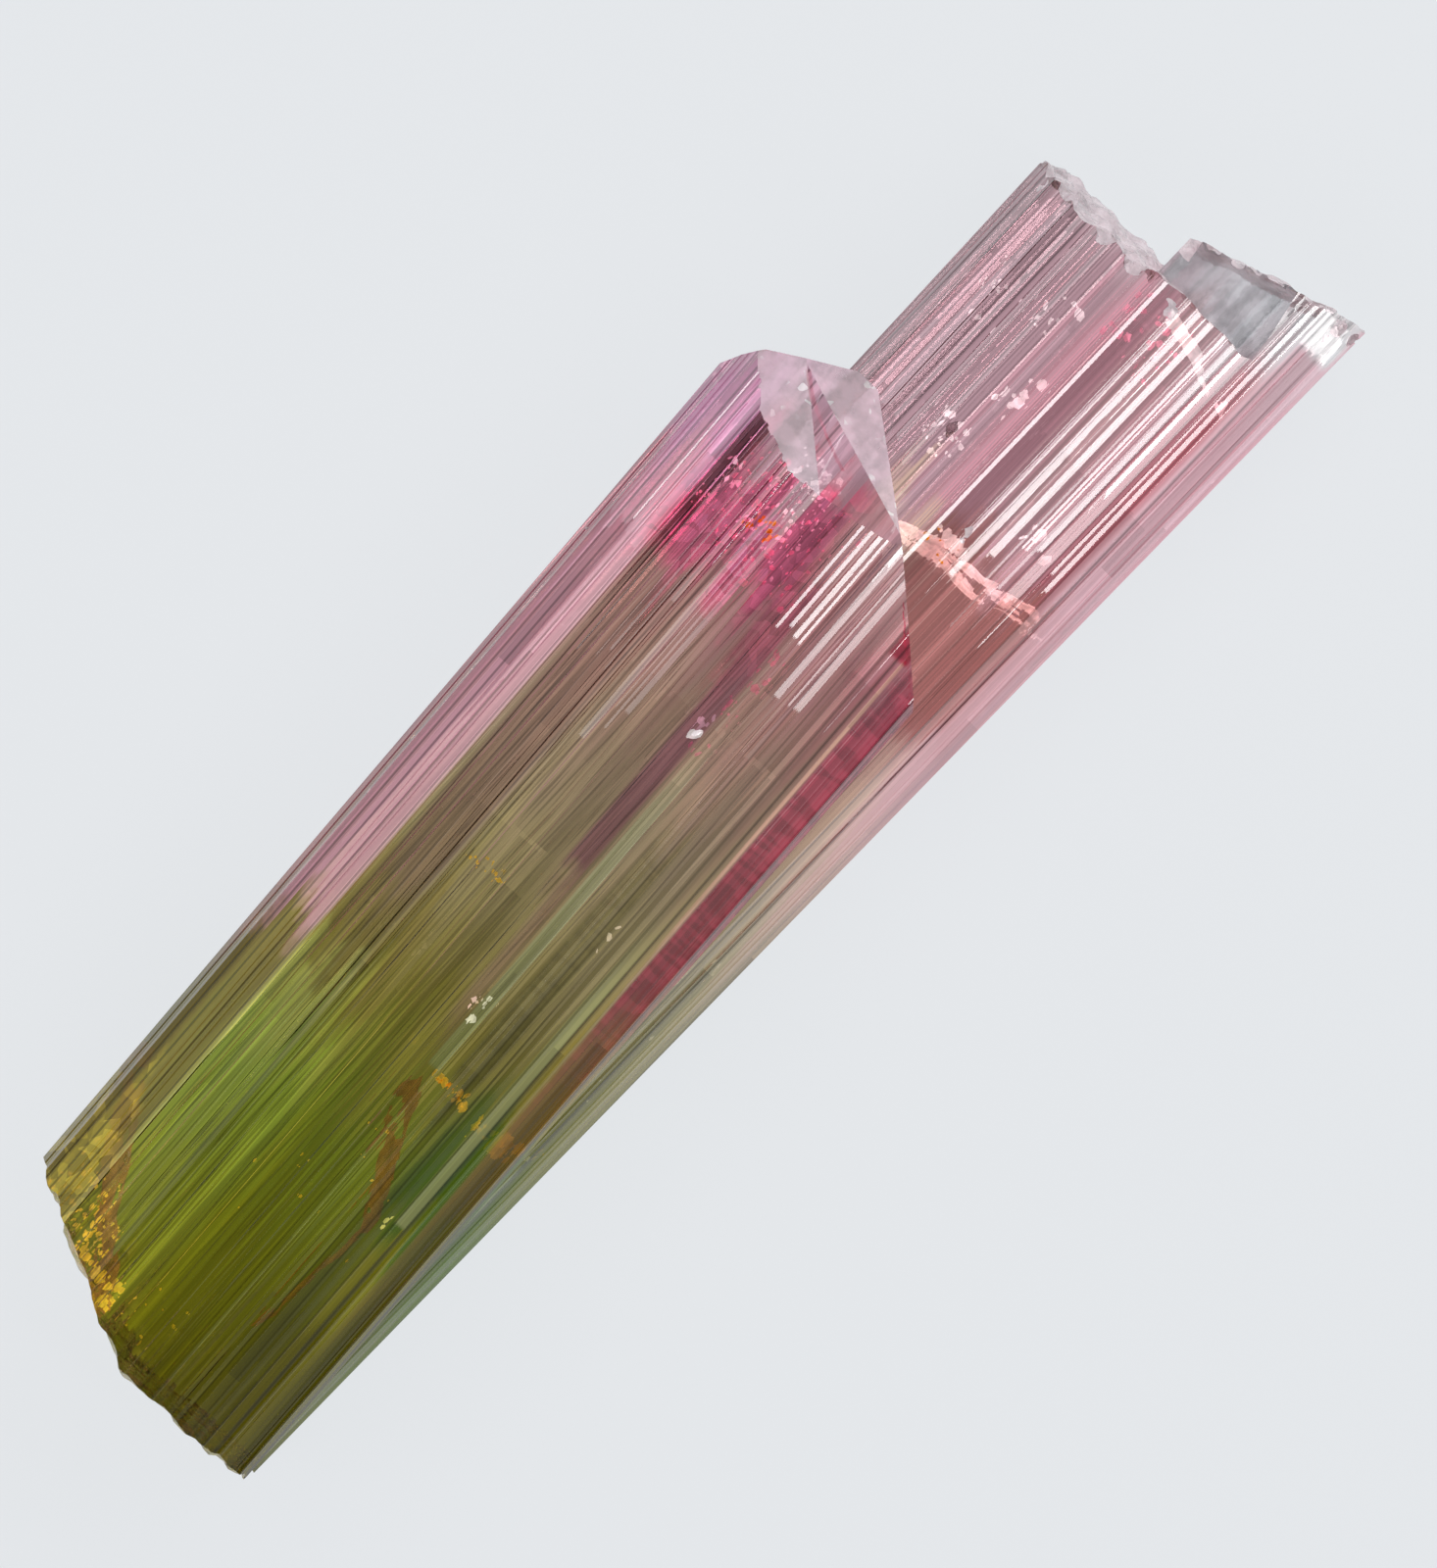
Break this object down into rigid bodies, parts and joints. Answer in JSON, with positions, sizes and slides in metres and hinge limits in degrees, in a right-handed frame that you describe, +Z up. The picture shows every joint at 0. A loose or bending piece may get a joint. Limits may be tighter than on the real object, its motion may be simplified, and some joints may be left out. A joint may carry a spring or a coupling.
{
  "type": "watermelon tourmaline crystal",
  "caption": "Striated tourmaline prism with a second prism grown along it, green at the broken base and pink at the faceted tips, lying on its flat back face.",
  "frame": {"origin": "centre of the bounding box on the surface that the crystal lies on", "axes": "+X along the prisms from the broken base to the tips, +Z up out of the surface"},
  "size_m": [0.0502, 0.0138, 0.0109],
  "materials": {
    "tourmaline": "clear vitreous crystal, zoned from olive green at the base to pink at the tips, finely striated along its length"
  },
  "bodies": {
    "root": {"tourmaline_crystal": "tourmaline"}
  },
  "joints": []
}
